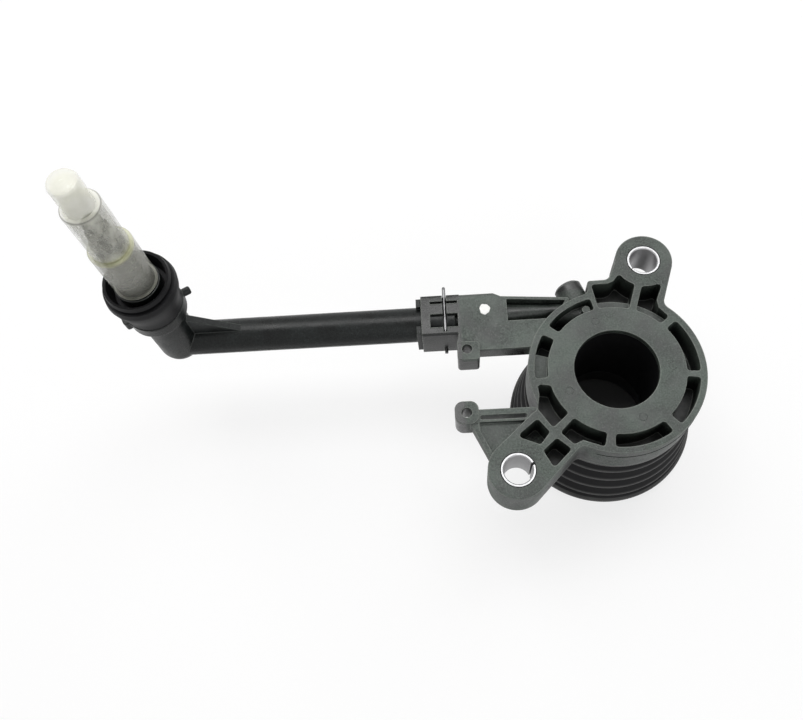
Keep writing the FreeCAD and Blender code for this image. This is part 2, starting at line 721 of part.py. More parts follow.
def boot_outside():
    """Outer corners of the boot from its collar down to its foot: a crest at each ridge."""
    points = [(BOOT_COLLAR_R, -FLANGE_H), (BOOT_COLLAR_R, -FLANGE_H - BOOT_SPIGOT_H)]
    last = -FLANGE_H - BOOT_SPIGOT_H
    for fold, depth in enumerate(BOOT_RIDGE_Z):
        radius = RING_R + BOOT_FLARE * fold
        middle = (last - depth) / 2
        points.append((radius - BOOT_FOLD, middle))
        points.append((radius, -depth + BOOT_RIDGE_HALF))
        points.append((radius, -depth - BOOT_RIDGE_HALF))
        last = -depth
    points.append((BOOT_FOOT_R - BOOT_FOLD, boot_foot() + BOOT_FOOT_H))
    return points


def dust_boot():
    """Pleated rubber boot of even wall, thick at its collar and foot."""
    outside = boot_outside()
    folds = [(radius - BOOT_WALL, height) for radius, height in outside[2:]]
    foot = [(BOOT_FOOT_R, boot_foot() + BOOT_FOOT_H / 2), (BOOT_FOOT_R, boot_foot()),
            (CARRIER_R + BOOT_FIT, boot_foot()), (CARRIER_R + BOOT_FIT, boot_foot() + BOOT_FOOT_H)]
    collar = [(BOOT_SPIGOT_R, -FLANGE_H - BOOT_SPIGOT_H), (BOOT_SPIGOT_R, -FLANGE_H)]
    return turned(outside + foot + folds[::-1] + collar)


def pipe_run(radius, start, end):
    return rod(radius, (start, PIPE_Y, PIPE_Z), (end, PIPE_Y, PIPE_Z))


def pipe_collar():
    """Notched square collar that keys the pipe against the mouth of its socket."""
    span = (PIPE_Y - COLLAR_HALF, PIPE_Y + COLLAR_HALF)
    high = (PIPE_Z - COLLAR_HALF, PIPE_Z + COLLAR_HALF)
    collar = block((COLLAR_X, BOX_X[0]), span, high)
    half = COLLAR_NOTCH / 2
    for low, top in ((high[1] - COLLAR_NOTCH_DEPTH, high[1]),
                     (high[0], high[0] + COLLAR_NOTCH_DEPTH)):
        collar = collar.cut(block((COLLAR_X, BOX_X[0]), (PIPE_Y - half, PIPE_Y + half), (low, top)))
    return collar


def gusset():
    """Triangular rib in the corner between the pipe and the neck."""
    crown = PIPE_Z + PIPE_R
    slope = (GUSSET_TOP - crown) / (NECK_X + NECK_R - GUSSET_FOOT_X)
    points = [(NECK_X, crown + slope * (NECK_X - GUSSET_FOOT_X)), (GUSSET_FOOT_X, crown),
              (GUSSET_FOOT_X, PIPE_Z), (NECK_X, PIPE_Z)]
    corners = [vec(x, PIPE_Y - GUSSET_T / 2, z) for x, z in points]
    return Part.Face(Part.makePolygon(corners + corners[:1])).extrude(vec(0, GUSSET_T, 0))


def neck_pegs():
    """Bayonet collar under the grommet, with a round peg on one side and a tab on the other."""
    low, high = BAYONET_Z
    bevel = BAYONET_EDGE
    collar = turned([(0, low), (BAYONET_R - bevel, low), (BAYONET_R, low + bevel), (BAYONET_R, high),
                     (0, high)])
    peg = rod(PEG_R, (0, 0, PEG_Z), (PEG_REACH, 0, PEG_Z))
    rim = [edge for edge in peg.Edges if edge.Closed and edge.CenterOfMass.x > NECK_R]
    peg = peg.makeFillet(PEG_R / 2, rim)
    tab = block((-TAB_REACH, 0), (-TAB_HALF, TAB_HALF), (low + bevel, high - bevel))
    tab = tab.makeFillet(TAB_ROUND, upright_edges(tab))
    pieces = [collar, peg, tab]
    for piece in pieces:
        piece.rotate(vec(0, 0, 0), vec(0, 0, 1), PEG_ANGLE)
        piece.translate(vec(NECK_X, PIPE_Y, 0))
    return pieces


def connector():
    """Stepped male spigot of the quick connector, with its latch groove."""
    centre = (NECK_X, PIPE_Y)
    base = NECK_TOP + CONNECTOR_BASE_H
    low, high = LATCH_GROOVE_Z
    groove = TIP_ORING_Z
    half = TIP_ORING_R
    profile = [(0, NECK_TOP - ABOVE), (CONNECTOR_BASE_R, NECK_TOP - ABOVE),
               (CONNECTOR_BASE_R, base - CONNECTOR_EDGE), (CONNECTOR_BASE_R - CONNECTOR_EDGE, base),
               (CONNECTOR_R, base), (CONNECTOR_R, low), (LATCH_GROOVE_R, low), (LATCH_GROOVE_R, high),
               (CONNECTOR_R, high), (CONNECTOR_R, CONNECTOR_SHOULDER_Z - CONNECTOR_TAPER),
               (CONNECTOR_TIP_R, CONNECTOR_SHOULDER_Z), (CONNECTOR_TIP_R, groove - half),
               (CONNECTOR_TIP_R - half, groove - half), (CONNECTOR_TIP_R - half, groove + half),
               (CONNECTOR_TIP_R, groove + half), (CONNECTOR_TIP_R, CONNECTOR_TIP_Z - CONNECTOR_EDGE),
               (CONNECTOR_TIP_R - CONNECTOR_EDGE, CONNECTOR_TIP_Z), (0, CONNECTOR_TIP_Z)]
    return turned(profile, centre)


def pipe_adapter():
    centre = (NECK_X, PIPE_Y)
    run = pipe_run(PIPE_R, NECK_X, SOCKET_STEP_X - SOCKET_FIT)
    spigot = pipe_run(SPIGOT_R, SOCKET_STEP_X - ABOVE, SPIGOT_END_X)
    neck = disc(NECK_R, PIPE_Z, NECK_TOP, centre)
    corner = Part.makeSphere(NECK_R, vec(NECK_X, PIPE_Y, PIPE_Z))
    solid = run.fuse([spigot, neck, corner, connector(), gusset(), pipe_collar()] + neck_pegs())
    half = WIRE_R + WIRE_FIT
    clip_groove = pipe_run(PIPE_R + ABOVE, CLIP_X - half, CLIP_X + half)
    clip_groove = clip_groove.cut(pipe_run(CLIP_GROOVE_R, CLIP_X - half, CLIP_X + half))
    ring_half = PIPE_ORING_R + PIPE_ORING_SQUEEZE / 2
    ring_groove = pipe_run(SPIGOT_R + ABOVE, PIPE_ORING_X - ring_half, PIPE_ORING_X + ring_half)
    ring_floor = SPIGOT_R + SOCKET_FIT - 2 * PIPE_ORING_R
    ring_groove = ring_groove.cut(pipe_run(ring_floor, PIPE_ORING_X - ring_half, PIPE_ORING_X + ring_half))
    wide = pipe_run(PIPE_BORE_R, NECK_X, CLIP_X - SPIGOT_R)
    narrow = pipe_run(SPIGOT_BORE_R, NECK_X, SPIGOT_END_X + ABOVE)
    rise = disc(PIPE_BORE_R, PIPE_Z, NECK_TOP, centre)
    outlet = disc(CONNECTOR_BORE_R, PIPE_Z, CONNECTOR_TIP_Z + ABOVE, centre)
    bend = Part.makeSphere(PIPE_BORE_R, vec(NECK_X, PIPE_Y, PIPE_Z))
    return solid.cut([clip_groove, ring_groove, wide, narrow, rise, outlet, bend]).removeSplitter()


def pipe_oring():
    mean = SPIGOT_R + SOCKET_FIT - PIPE_ORING_R
    return Part.makeTorus(mean, PIPE_ORING_R, vec(PIPE_ORING_X, PIPE_Y, PIPE_Z), vec(1, 0, 0))


def connector_oring():
    return round_ring(CONNECTOR_TIP_R, TIP_ORING_R, TIP_ORING_Z, (NECK_X, PIPE_Y))


def clip_wire_path():
    """Bent wire: a near leg, the bar behind the box and a longer far leg."""
    high = PIPE_Z + clip_offset()
    low = PIPE_Z - clip_offset()
    back = PIPE_Y + CLIP_BACK
    near_end = PIPE_Y + CLIP_NEAR_END
    far_end = PIPE_Y + CLIP_FAR_END
    bend = CLIP_BEND_R
    near = Part.LineSegment(vec(CLIP_X, near_end, high), vec(CLIP_X, back - bend, high))
    bar = Part.LineSegment(vec(CLIP_X, back, high - bend), vec(CLIP_X, back, low + bend))
    far = Part.LineSegment(vec(CLIP_X, back - bend, low), vec(CLIP_X, far_end, low))
    diagonal = bend * (1 - math.sqrt(0.5))
    upper = Part.Arc(vec(CLIP_X, back - bend, high), vec(CLIP_X, back - diagonal, high - diagonal),
                     vec(CLIP_X, back, high - bend))
    lower = Part.Arc(vec(CLIP_X, back, low + bend), vec(CLIP_X, back - diagonal, low + diagonal),
                     vec(CLIP_X, back - bend, low))
    return Part.Wire([piece.toShape() for piece in (near, upper, bar, lower, far)])


def pipe_clip():
    start = vec(CLIP_X, PIPE_Y + CLIP_NEAR_END, PIPE_Z + clip_offset())
    section = Part.Wire(Part.Circle(start, vec(0, 1, 0), WIRE_R).toShape())
    return clip_wire_path().makePipeShell([section], True, False)


def grommet():
    """Flared rubber grommet: a thin lip, a groove and a broad flange over a tapered foot."""
    low, high = GROMMET_GROOVE_Z
    inner_lip = GROMMET_LIP_R - GROMMET_LIP_T
    throat = GROMMET_TOP - GROMMET_THROAT_DEPTH
    brim = GROMMET_FLANGE_R - GROMMET_EDGE
    profile = [(NECK_R, GROMMET_FOOT_Z), (GROMMET_FOOT_R, GROMMET_FOOT_Z), (GROMMET_WAIST_R, GROMMET_WAIST_Z),
               (brim, GROMMET_FLANGE_Z - GROMMET_TAPER), (GROMMET_FLANGE_R, GROMMET_FLANGE_Z),
               (brim, low), (GROMMET_GROOVE_R, low),
               (GROMMET_GROOVE_R, high), (GROMMET_LIP_R, high), (GROMMET_LIP_R - GROMMET_EDGE, GROMMET_TOP),
               (inner_lip, GROMMET_TOP - GROMMET_EDGE), (NECK_R + GROMMET_LIP_T, throat), (NECK_R, throat)]
    return turned(profile, (NECK_X, PIPE_Y))


def transport_cap():
    """Stepped cap pushed over the connector, closed and rounded at its tip."""
    first, second, third = CAP_R
    low, middle, top = CAP_STEP_Z
    edge = CAP_ROUND
    wall = CAP_WALL
    dome = CAP_TIP_ROUND
    inner = CONNECTOR_BASE_R + CAP_FIT
    profile = [(inner, CAP_FOOT_Z), (first, CAP_FOOT_Z), (first, low - edge), (first - edge, low),
               (second, low), (second, middle - edge), (second - edge, middle), (third, middle),
               (third, top - dome), (third - dome * DOME_SHOULDER, top - dome * DOME_SHOULDER),
               (third - dome, top), (0, top), (0, top - wall), (third - wall, top - wall - dome),
               (third - wall, middle - wall), (second - wall, middle - wall), (second - wall, low - wall),
               (inner, low - wall)]
    return turned(profile, (NECK_X, PIPE_Y))


NODES = {
    "housing": housing,
    "bolt_sleeve_lower": lambda: bolt_sleeve(LOWER_LUG, LOWER_SLIT_ANGLE),
    "bolt_sleeve_upper": lambda: bolt_sleeve(UPPER_LUG, UPPER_SLIT_ANGLE),
    "guide_sleeve": guide_sleeve,
    "guide_sleeve_oring": guide_sleeve_oring,
    "piston": piston,
    "piston_seal": piston_seal,
    "bearing_carrier": bearing_carrier,
    "bearing_outer_ring": bearing_outer_ring,
    "bearing_inner_ring": bearing_inner_ring,
    "bearing_balls": bearing_balls,
    "bearing_cage": bearing_cage,
    "bearing_shield_upper": lambda: bearing_shield(-BEARING_TOP - SHIELD_INSET),
    "bearing_shield_lower": lambda: bearing_shield(-BEARING_BOTTOM + SHIELD_INSET + SHIELD_T),
    "bearing_snap_ring": bearing_snap_ring,
    "preload_spring": preload_spring,
    "dust_boot": dust_boot,
    "pipe_adapter": pipe_adapter,
    "pipe_oring": pipe_oring,
    "connector_oring": connector_oring,
    "pipe_clip": pipe_clip,
    "grommet": grommet,
    "transport_cap": transport_cap,
}


def main():
    os.makedirs("parts", exist_ok=True)
    for name, make in NODES.items():
        shape = make()
        print(name, "solids", len(shape.Solids), "valid", shape.isValid(), "volume", round(shape.Volume, 1))
        shape.exportStep("parts/" + name + ".step")


main()
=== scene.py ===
import math

import bpy
import numpy as np
from mathutils import Matrix, Vector


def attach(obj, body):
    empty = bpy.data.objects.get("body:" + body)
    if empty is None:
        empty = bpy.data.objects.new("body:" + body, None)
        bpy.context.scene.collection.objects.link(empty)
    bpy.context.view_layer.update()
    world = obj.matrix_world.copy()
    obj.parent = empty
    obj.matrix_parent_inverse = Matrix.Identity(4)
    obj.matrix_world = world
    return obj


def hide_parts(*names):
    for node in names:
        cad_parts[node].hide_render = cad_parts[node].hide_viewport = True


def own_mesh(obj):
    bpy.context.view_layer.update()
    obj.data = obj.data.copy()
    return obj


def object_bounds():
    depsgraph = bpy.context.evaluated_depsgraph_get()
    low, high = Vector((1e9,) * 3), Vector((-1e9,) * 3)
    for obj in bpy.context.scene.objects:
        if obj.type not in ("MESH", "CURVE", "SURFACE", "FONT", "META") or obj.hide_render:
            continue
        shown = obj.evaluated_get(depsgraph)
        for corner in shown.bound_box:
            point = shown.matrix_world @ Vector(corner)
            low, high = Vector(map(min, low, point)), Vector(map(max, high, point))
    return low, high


bl_info = {
    "name": "Clutch slave cylinder",
    "version": (1, 0, 0),
    "blender": (4, 5, 0),
    "location": "View3D > Sidebar > Cylinder",
    "description": "Adds rubber, wire, moulding marks, finishes and a studio to a clutch slave cylinder",
    "category": "Object",
}

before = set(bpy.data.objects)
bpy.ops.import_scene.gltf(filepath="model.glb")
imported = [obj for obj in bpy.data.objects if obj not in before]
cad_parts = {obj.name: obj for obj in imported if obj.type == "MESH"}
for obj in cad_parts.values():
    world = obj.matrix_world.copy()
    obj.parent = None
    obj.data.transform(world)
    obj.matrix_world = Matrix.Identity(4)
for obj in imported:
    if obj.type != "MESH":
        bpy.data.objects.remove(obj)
CAD_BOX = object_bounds()
MM = 0.001
FLOOR_Z = CAD_BOX[0].z
HALF_TURN = math.pi
FULL_TURN = 2 * math.pi
TORUS_SIDES = 8
END_RINGS = 6
END_SHRINK = 0.02


# Places and sizes of the pieces, in millimetres and degrees

BOOT_TOP = -18.5
BOOT_FOOT = -61.0
BOOT_RIDGES = ((-28.8, 37.5), (-37.2, 38.8), (-45.6, 40.1), (-54.0, 41.4))
BOOT_FOLD = 2.6
BOOT_CREST_HALF = 0.7
BOOT_ROUND = 0.7
BOOT_COLLAR = 2.5
BOOT_COLLAR_R = (35.0, 37.3)
BOOT_FOOT_R = (35.5, 42.9)
BOOT_FOOT_H = (2.6, 4.2)
# The crests painted lighter as a highlight lie outside a cone: how much its radius grows per height, and
# its radius at height 0
BOOT_CREST = (-0.155, 32.9)
SPRING_TOP = -18.55
SPRING_LOW = -47.95
SPRING_R = 31.2
SPRING_TURNS = 4.5
SPRING_FLAT = 1 / (1.4 * SPRING_TURNS)
BALL_COUNT = 15
BALL_GRID = (16, 28)
BALL_RING_R = 27.6
BALL_Z = -55.5
PIPE_Y = 30.95
PIPE_Z = -10.6
PIPE_R = 7.87
PIPE_SEAM_X = (-186.0, -85.2)
NECK = (-195.5, PIPE_Y)
CAP_STEPS = (73.0, 100.0)
CAP_FOOT = 46.0
CAP_SHOULDER_R = 7.2
LUGS = ((-45.2, -42.3), (18.2, 51.6))
JOINT_R = 7.3
PIN_R = 1.7
PINS = ((23.6, 0.0), (-6.5, 22.7), (-21.0, -9.0), (8.0, -22.2), (-36.8, -36.8), (23.5, 40.5))
MARK_PLACE = (-54.1, 32.4, -1.2)
MARK_DOME = 0.12
RECESS_RIB_X = (-49.0, -27.0)
RECESS_RIB_Y = (25.2, 26.25)
RECESS_RIB_Z = (-10.4, -1.9)
RECESS_RIB_ROUND = 0.2
# The oil channel's crest in the arm's recess: half width and height at its wide and its narrow end,
# its middle and feet, where it starts along x, and the ring and the last x at which it ends
FLARE_HALF = (6.0, 4.0)
FLARE_CREST = (-1.8, -2.3)
FLARE_Y = 31.4
FLARE_FOOT = -9.4
FLARE_SINK = 0.8
FLARE_START = -45.6
FLARE_RING = 36.2
FLARE_LAST = 15.9
FLANGE_R = 37.5
FLANGE_SEAM_Z = -5.7
FLANGE_SEAM_ANGLES = (-110, 38)


# Grids and meshes


def mesh_object(name, points, faces, body):
    """Puts corner places (millimetres) and faces into a mesh, turned so that its faces look outwards."""
    places = np.asarray(points, float).reshape(-1, 3) * MM
    faces = np.asarray(faces, int)
    a, b, c = places[faces[:, 0]], places[faces[:, 1]], places[faces[:, 2]]
    volume = np.einsum("ij,ij->", a, np.cross(b, c))
    if faces.shape[1] == 4:
        volume += np.einsum("ij,ij->", a, np.cross(c, places[faces[:, 3]]))
    if volume < 0:
        faces = faces[:, ::-1]
    mesh = bpy.data.meshes.new(name)
    mesh.from_pydata(places.tolist(), [], faces.tolist())
    mesh.polygons.foreach_set("use_smooth", np.ones(len(faces), bool))
    mesh.update()
    piece = bpy.data.objects.new(name, mesh)
    bpy.context.scene.collection.objects.link(piece)
    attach(piece, body)
    return piece


def ring_faces(rows, columns):
    """Quads of a grid that closes on itself both ways: each corner joins the next row and column."""
    index = np.arange(rows * columns).reshape(rows, columns)
    down = np.roll(index, -1, axis=0)
    quads = [index, down, np.roll(down, -1, axis=1), np.roll(index, -1, axis=1)]
    return np.stack(quads, axis=-1).reshape(-1, 4)


def capped_faces(rows, columns):
    """Triangles of a sleeve of rings, closed by two tips that follow as its last two corners."""
    quads = ring_faces(rows, columns)[:(rows - 1) * columns]
    here = np.arange(columns)
    beside = np.roll(here, -1)
    last = (rows - 1) * columns
    tip = np.full(columns, rows * columns)
    first_cap = np.stack([here, beside, tip], axis=-1)
    last_cap = np.stack([last + beside, last + here, tip + 1], axis=-1)
    return np.vstack([quads[:, [0, 1, 2]], quads[:, [0, 2, 3]], first_cap, last_cap])


def full_turn(steps):
    """Angles once round, the last one short of the first."""
    return np.linspace(0, FULL_TURN, steps, endpoint=False)


def turned_piece(name, profile, steps, body):
    """Closed profile carried round the upright axis: x and y are radius times cosine and sine."""
    turn = full_turn(steps)[:, None]
    radius, height = profile[None, :, 0], profile[None, :, 1]
    points = np.stack([radius * np.cos(turn), radius * np.sin(turn), height + 0 * turn], axis=-1)
    return mesh_object(name, points, ring_faces(steps, len(profile)), body)


def capped_piece(name, rings, body):
    """Sleeve of rings whose two ends are closed by triangles round the ring's middle."""
    points = np.vstack([rings.reshape(-1, 3), rings[0].mean(axis=0), rings[-1].mean(axis=0)])
    return mesh_object(name, points, capped_faces(*rings.shape[:2]), body)


def flat_tori(name, places, radius, width, height, sink, steps):
    """Low tori on the mounting face: the ring's size and height are the cosine and sine of one angle."""
    turn = full_turn(steps)[:, None]
    around = full_turn(TORUS_SIDES)[None, :]
    size = radius + width * np.cos(around)
    z = height * np.sin(around) + 0 * turn - sink
    points = np.array([np.stack([x + size * np.cos(turn), y + size * np.sin(turn), z], axis=-1)
                       for x, y in places])
    first = np.arange(len(places))[:, None, None] * steps * TORUS_SIDES
    faces = (ring_faces(steps, TORUS_SIDES) + first).reshape(-1, 4)
    return mesh_object(name, points, faces, "housing")


def rounded_profile(corners, radius, steps=5):
    """Closed profile with every corner replaced by a quadratic curve that starts and ends on its sides."""
    corners = np.asarray(corners, float)
    before = np.roll(corners, 1, axis=0) - corners
    after = np.roll(corners, -1, axis=0) - corners
    size_before = np.linalg.norm(before, axis=1)
    size_after = np.linalg.norm(after, axis=1)
    reach = np.minimum(radius, np.minimum(size_before, size_after) * 0.45)[:, None]
    start = corners + before / size_before[:, None] * reach
    end = corners + after / size_after[:, None] * reach
    t = np.linspace(0, 1, steps)[None, :, None]
    curve = (1 - t) ** 2 * start[:, None] + 2 * t * (1 - t) * corners[:, None] + t ** 2 * end[:, None]
    return curve.reshape(-1, 2)


def tube_points(path, radius, sides):
    """Round tube along a path: each ring stands square to the path, in a frame kept upright."""
    ahead = np.gradient(path, axis=0)
    ahead /= np.linalg.norm(ahead, axis=1)[:, None]
    up = np.broadcast_to(np.array([0.0, 0.0, 1.0]), ahead.shape)
    side = np.cross(ahead, up)
    side /= np.linalg.norm(side, axis=1)[:, None]
    lift = np.cross(side, ahead)
    turn = full_turn(sides)[None, :, None]
    ring = side[:, None] * np.cos(turn) + lift[:, None] * np.sin(turn)
    radius = np.broadcast_to(np.asarray(radius, float), len(path))[:, None, None]
    return path[:, None] + ring * radius


def tube_piece(name, path, radius, sides, body):
    """Round tube whose ends are drawn in to a point by rings that shrink like a globe's."""
    shrink = np.maximum(np.cos(np.linspace(HALF_TURN / 2, 0, END_RINGS)), END_SHRINK)
    radius = np.full(len(path), radius)
    radius[:END_RINGS] *= shrink
    radius[-END_RINGS:] *= shrink[::-1]
    return capped_piece(name, tube_points(path, radius, sides), body)


def globe_points(radius, rows, columns):
    """Globe with its two tips last: height is the cosine of the row angle, ring size its sine."""
    row = np.linspace(0, HALF_TURN, rows + 2)[1:-1, None]
    turn = full_turn(columns)[None, :]
    size = np.sin(row) * radius
    z = np.broadcast_to(np.cos(row) * radius, (rows, columns))
    rings = np.stack([size * np.cos(turn), size * np.sin(turn), z], axis=-1).reshape(-1, 3)
    tips = np.array([[0, 0, radius], [0, 0, -radius]])
    return np.vstack([rings, tips])


# Materials

FIBRE_TONE = (0.13, 0.14, 0.128)
# Lighter tone of nylon edges: partly wear, partly a painted highlight
EDGE_WEAR_AND_HIGHLIGHT_TONE = (0.28, 0.3, 0.275)
# Painted highlight on the boot's fold crests
RUBBER_CREST_HIGHLIGHT_TONE = (0.1, 0.1, 0.098)
# Painted shade at the cap's foot, inside the grommet's shadow
CAP_FOOT_SHADE_TONE = (0.11, 0.11, 0.095)
CAP_TIP_TONE = (0.9, 0.895, 0.79)
CAP_BAND_TONE = (0.5, 0.5, 0.24)
CAP_RIM_TONE = (0.7, 0.7, 0.6)
CAP_SHOULDER_TONE = (0.06, 0.06, 0.05)
WELD_REACH = 0.001 * MM
CRISP_ANGLE = math.radians(32)
EDGE_ROUND = 0.9 * MM
# Smooth, darker areas of the housing: the socket from here outwards, the stub, and the arm's front wall,
# whose darkening is painted shade
SOCKET_START = -65.2 * MM
STUB_START = 39.5 * MM
STUB_SIDE = -9 * MM
WALL_TOP = -2.5 * MM
WALL_Y = (5 * MM, 20 * MM)
WALL_ROOT = -37 * MM
RIM_INSIDE = 36.4 * MM
POCKET_SHADE = -5 * MM
POCKET_FADE = 8 * MM
# Web pockets of the flange, painted darker as shade: distance of the centre from the axis, its direction in
# degrees, and a radius
WEB_POCKETS = ((39.5, 203, 8.5), (54.5, 216.5, 6.5), (54.5, 230.5, 6.5),
               (41, 236, 8), (43, 56, 10), (45, 85, 10))


class Value:
    """A socket that can be added, multiplied and compared, each step making one Math node."""

    def __init__(self, paint, socket):
        self.paint = paint
        self.socket = socket

    def math(self, operation, other=0.0, clamp=False):
        return self.paint.math(operation, self, other, clamp)

    def __add__(self, other):
        return self.math("ADD", other)

    def __sub__(self, other):
        return self.math("SUBTRACT", other)

    def __mul__(self, other):
        return self.math("MULTIPLY", other)

    def __truediv__(self, other):
        return self.math("DIVIDE", other)

    def __rsub__(self, other):
        return self.paint.math("SUBTRACT", other, self)

    __radd__ = __add__
    __rmul__ = __mul__

    def above(self, edge, width):
        """0 below an edge, 1 above it, and a ramp of the given width between."""
        return ((self - edge) / width + 0.5).math("ADD", 0.0, True)

    def below(self, edge, width):
        """1 below an edge, 0 above it, and a ramp of the given width between."""
        return 1.0 - self.above(edge, width)

    def near(self, centre, width):
        """1 at a centre value, falling to 0 at the given distance from it."""
        return (1.0 - (self - centre).math("ABSOLUTE") / width).math("ADD", 0.0, True)


class Paint:
    """Builds one material's nodes round a Principled shader."""

    def __init__(self, name):
        self.material = bpy.data.materials.new(name)
        self.material.use_nodes = True
        self.tree = self.material.node_tree
        self.shader = self.tree.nodes["Principled BSDF"]
        self.place = self.node("ShaderNodeTexCoord", {}).outputs["Object"]
        parts = self.node("ShaderNodeSeparateXYZ", {"Vector": self.place})
        self.x, self.y, self.z = [Value(self, parts.outputs[key]) for key in ("X", "Y", "Z")]
        self.bumps = None

    def node(self, kind, inputs, **settings):
        """Adds a node with its settings, and links or sets each of the inputs."""
        made = self.tree.nodes.new(kind)
        for key, value in settings.items():
            setattr(made, key, value)
        for key, value in inputs.items():
            self.feed(made.inputs[key], value)
        return made

    def feed(self, socket, value):
        if isinstance(value, Value):
            value = value.socket
        if isinstance(value, bpy.types.NodeSocket):
            self.tree.links.new(value, socket)
        elif hasattr(value, "__len__") and len(value) == 3 and socket.type == "RGBA":
            socket.default_value = (*value, 1.0)
        else:
            socket.default_value = value

    def math(self, operation, first, second, clamp=False):
        inputs = {0: first, 1: second}
        made = self.node("ShaderNodeMath", inputs, operation=operation, use_clamp=clamp)
        return Value(self, made.outputs[0])

    def noise(self, scale, detail=2.0, rough=0.5, stretch=(1.0, 1.0, 1.0)):
        """Cloudy noise from 0 to 1: scale in cycles per metre, and a stretch for each axis."""
        place = self.place
        if stretch != (1.0, 1.0, 1.0):
            made = self.node("ShaderNodeVectorMath", {0: place, 1: stretch}, operation="MULTIPLY")
            place = made.outputs[0]
        inputs = {"Vector": place, "Scale": scale, "Detail": detail, "Roughness": rough}
        return Value(self, self.node("ShaderNodeTexNoise", inputs).outputs["Fac"])

    def blend(self, share, first, second):
        """Colour that goes from the first to the second as the share goes from 0 to 1."""
        inputs = {0: share, 6: first, 7: second}
        return self.node("ShaderNodeMix", inputs, data_type="RGBA").outputs[2]

    def radius(self, centre=(0.0, 0.0)):
        """Distance from an upright axis, in metres."""
        x = self.x - centre[0] * MM
        y = self.y - centre[1] * MM
        return (x * x + y * y).math("SQRT")

    def bump(self, height, strength, distance):
        inputs = {"Height": height, "Strength": strength, "Distance": distance}
        if self.bumps is not None:
            inputs["Normal"] = self.bumps
        self.bumps = self.node("ShaderNodeBump", inputs).outputs[0]

    def soft_edges(self, radius):
        """Rounds the shading of sharp edges, and gives 1 on such an edge and 0 away from it."""
        self.bumps = self.node("ShaderNodeBevel", {"Radius": radius}, samples=8).outputs[0]
        flat = self.node("ShaderNodeNewGeometry", {}).outputs["Normal"]
        made = self.node("ShaderNodeVectorMath", {0: self.bumps, 1: flat}, operation="DOT_PRODUCT")
        return 1.0 - Value(self, made.outputs["Value"]).above(0.965, 0.06)

    def finish(self, colour, rough, **uniform):
        self.feed(self.shader.inputs["Base Color"], colour)
        self.feed(self.shader.inputs["Roughness"], rough)
        for key, value in uniform.items():
            self.feed(self.shader.inputs[key.replace("_", " ")], value)
        if self.bumps is not None:
            self.feed(self.shader.inputs["Normal"], self.bumps)
        return self.material


def scaled(colour, factor):
    return tuple(min(1.0, channel * factor) for channel in colour)


def smooth_and_shaded_areas(paint):
    """1 on the socket's box and the blanked stub, which are smoother and darker, and on the arm's front
    wall, smoother and painted darker as shade.
    """
    box = paint.x.below(SOCKET_START, 1.5 * MM)
    stub = paint.y.above(STUB_START, 2 * MM) * paint.x.below(STUB_SIDE, 2 * MM)
    # The arm's front wall below the face is painted darker as shade
    wall = paint.z.below(WALL_TOP, MM) * paint.y.above(WALL_Y[0], MM) * paint.y.below(WALL_Y[1], MM)
    return (box + stub + wall * paint.x.below(WALL_ROOT, 2 * MM)).math("ADD", 0.0, True)


def pocket_painted_shade(paint):
    """1 down in the flange's pockets, where shade is painted into the nylon's colour, 0 at its face."""
    inside = paint.radius().below(RIM_INSIDE, 0.8 * MM)
    for reach, angle, size in WEB_POCKETS:
        centre = reach * np.cos(np.radians(angle)), reach * np.sin(np.radians(angle))
        inside = inside.math("MAXIMUM", paint.radius(centre).below(size * MM, 2 * MM))
    return inside * paint.z.below(POCKET_SHADE, POCKET_FADE)


def nylon(name, colour, speckle, rough, wear_and_highlight=0.5, gloss=0.38, body=False):
    """Glass-filled nylon: pale fibres, flow marks, a fine erosion texture, and edges painted lighter,
    partly as wear and partly as a painted highlight.

    The body's own nylon also has patches paler from handling, smooth darker areas with a front wall painted
    darker as shade, and pockets painted dark as shade.
    """
    paint = Paint(name)
    edge = paint.soft_edges(EDGE_ROUND)
    fibres = paint.noise(1900, 2, 0.7, (1.0, 0.5, 1.0)).above(0.6, 0.2)
    cloud = paint.noise(75, 5, 0.7).above(0.5, 0.3)
    grain = paint.noise(1250, 3, 0.65)
    tone = paint.blend(cloud, scaled(colour, 0.25), scaled(colour, 2.1))
    tone = paint.blend(fibres * speckle, tone, FIBRE_TONE)
    tone = paint.blend(grain.above(0.5, 0.3), scaled(colour, 0.3), tone)
    dull = rough + cloud * 0.22 - fibres * 0.1
    if body:
        handled = paint.noise(42, 4, 0.62).above(0.52, 0.16)
        tone = paint.blend(handled * (0.2 + grain * 0.42), tone, scaled(colour, 2.5))
        smooth_and_shaded = smooth_and_shaded_areas(paint)
        # Darker on the socket, the stub and the arm's front wall; on the wall this is painted shade
        tone = paint.blend(smooth_and_shaded, tone, scaled(colour, 0.1))
        # Painted shade: the pockets' walls and floors are darkened in colour
        tone = paint.blend(pocket_painted_shade(paint) * 0.9, tone, scaled(colour, 0.05))
        dull = dull - smooth_and_shaded * 0.25
    # Edges painted lighter: partly wear, partly a painted highlight of rounded edges catching light
    tone = paint.blend(edge * wear_and_highlight * (0.5 + grain * 0.8), tone, EDGE_WEAR_AND_HIGHLIGHT_TONE)
    paint.bump(grain, 0.6, 0.08 * MM)
    paint.bump(fibres, 0.3, 0.03 * MM)
    return paint.finish(tone, dull, Specular_IOR_Level=gloss)


